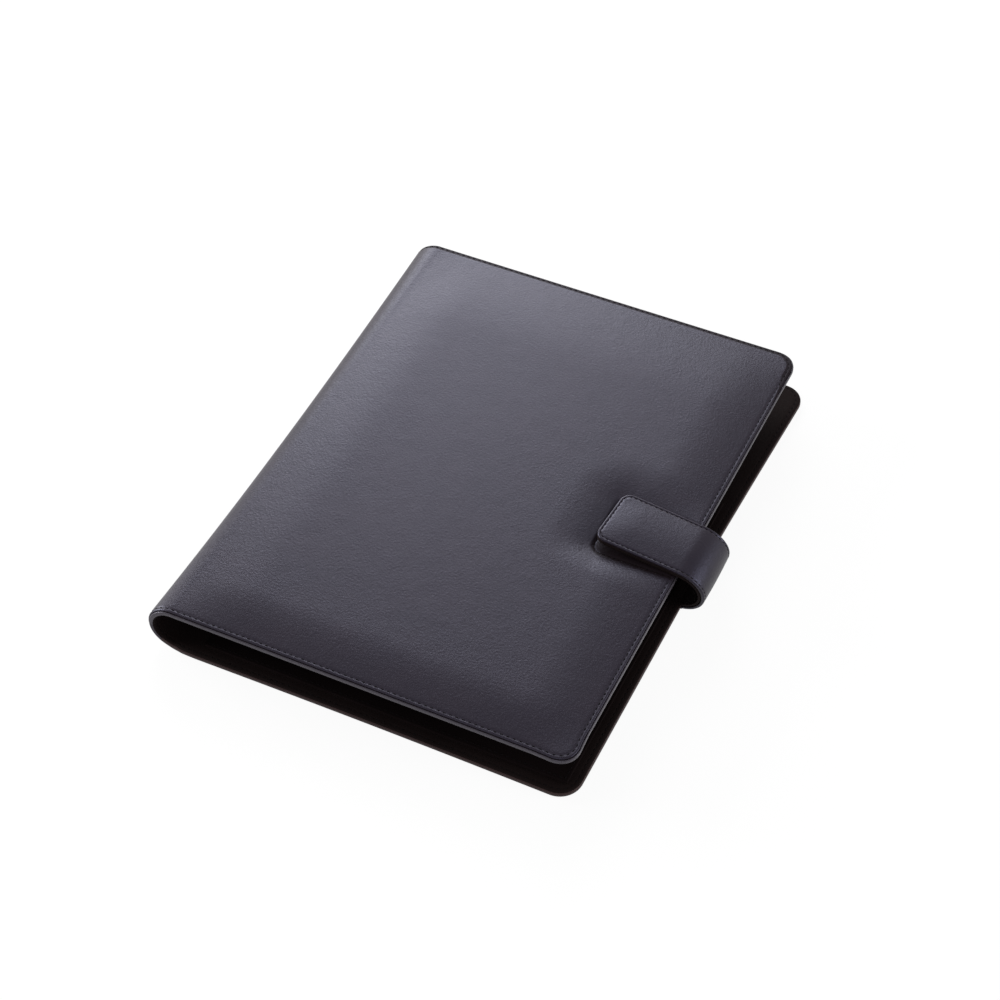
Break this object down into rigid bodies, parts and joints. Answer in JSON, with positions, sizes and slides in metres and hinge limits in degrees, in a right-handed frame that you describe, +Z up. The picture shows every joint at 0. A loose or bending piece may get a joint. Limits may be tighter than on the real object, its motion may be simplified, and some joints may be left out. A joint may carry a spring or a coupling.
{
  "type": "conference folder",
  "caption": "Closed black leather A4 conference folder: padded front cover, soft rounded spine, inside pockets and a magnetic strap round the fore-edge.",
  "frame": {"origin": "bottom centre of the closed folder's bounding box, on the table it lies on", "axes": "+X from the spine to the fore-edge with the strap, +Y from the tail to the head, +Z up through the covers"},
  "size_m": [0.2664, 0.325, 0.038],
  "materials": {
    "cover_leather": "smooth black, fine grain, soft sheen",
    "strap_leather": "smooth black, fine grain, soft sheen",
    "lining": "matt black",
    "strap_lining": "matt black",
    "pocket_leather": "matt black",
    "elastic": "ribbed black elastic",
    "board": "grey bookbinder's board",
    "foam": "thin foam",
    "magnet": "nickel plated",
    "keeper": "plain steel"
  },
  "bodies": {
    "back_cover": {"back_leather": "cover_leather", "back_board": "board", "back_lining": "lining", "pad_pocket": "pocket_leather", "pen_loop": "elastic", "strap_root_leather": "strap_leather", "strap_root_lining": "strap_lining"},
    "spine_1": {"spine_leather_1": "cover_leather", "spine_lining_1": "lining"},
    "spine_2": {"spine_leather_2": "cover_leather", "spine_lining_2": "lining"},
    "spine_3": {"spine_leather_3": "cover_leather", "spine_lining_3": "lining"},
    "front_cover": {"front_leather": "cover_leather", "front_padding": "foam", "front_board": "board", "front_lining": "lining", "front_magnet": "magnet", "document_pocket": "pocket_leather", "card_pocket_1": "pocket_leather", "card_pocket_2": "pocket_leather", "card_pocket_3": "pocket_leather"},
    "strap_1": {"strap_leather_1": "strap_leather", "strap_lining_1": "strap_lining"},
    "strap_2": {"strap_leather_2": "strap_leather", "strap_lining_2": "strap_lining"},
    "strap_3": {"strap_leather_3": "strap_leather", "strap_lining_3": "strap_lining"},
    "strap_tip": {"strap_tip_leather": "strap_leather", "strap_tip_lining": "strap_lining", "strap_keeper": "keeper"}
  },
  "joints": [
    {"name": "spine_bend_1", "type": "hinge", "parent": "back_cover", "child": "spine_1", "pos_m": [-0.12366, 0, 0.00118], "axis": [0, -1, 0], "range_deg": [0, 44]},
    {"name": "spine_bend_2", "type": "hinge", "parent": "spine_1", "child": "spine_2", "pos_m": [-0.13204, 0, 0.00957], "axis": [0, -1, 0], "range_deg": [0, 44]},
    {"name": "spine_bend_3", "type": "hinge", "parent": "spine_2", "child": "spine_3", "pos_m": [-0.13204, 0, 0.02143], "axis": [0, -1, 0], "range_deg": [0, 44]},
    {"name": "spine_bend_4", "type": "hinge", "parent": "spine_3", "child": "front_cover", "pos_m": [-0.12366, 0, 0.02982], "axis": [0, -1, 0], "range_deg": [0, 44]},
    {"name": "strap_bend_1", "type": "hinge", "parent": "back_cover", "child": "strap_1", "pos_m": [0.12229, 0, 0.00159], "axis": [0, 1, 0], "range_deg": [0, 44]},
    {"name": "strap_bend_2", "type": "hinge", "parent": "strap_1", "child": "strap_2", "pos_m": [0.13175, 0, 0.01082], "axis": [0, 1, 0], "range_deg": [0, 44]},
    {"name": "strap_bend_3", "type": "hinge", "parent": "strap_2", "child": "strap_3", "pos_m": [0.1321, 0, 0.02403], "axis": [0, 1, 0], "range_deg": [0, 44]},
    {"name": "strap_open", "type": "hinge", "parent": "strap_3", "child": "strap_tip", "pos_m": [0.12313, 0, 0.03374], "axis": [0, 1, 0], "range_deg": [0, 44]}
  ],
  "couplings": [
    {"joint": "strap_bend_1", "follows": "strap_open", "ratio": 1},
    {"joint": "strap_bend_2", "follows": "strap_open", "ratio": 1},
    {"joint": "strap_bend_3", "follows": "strap_open", "ratio": 1}
  ]
}
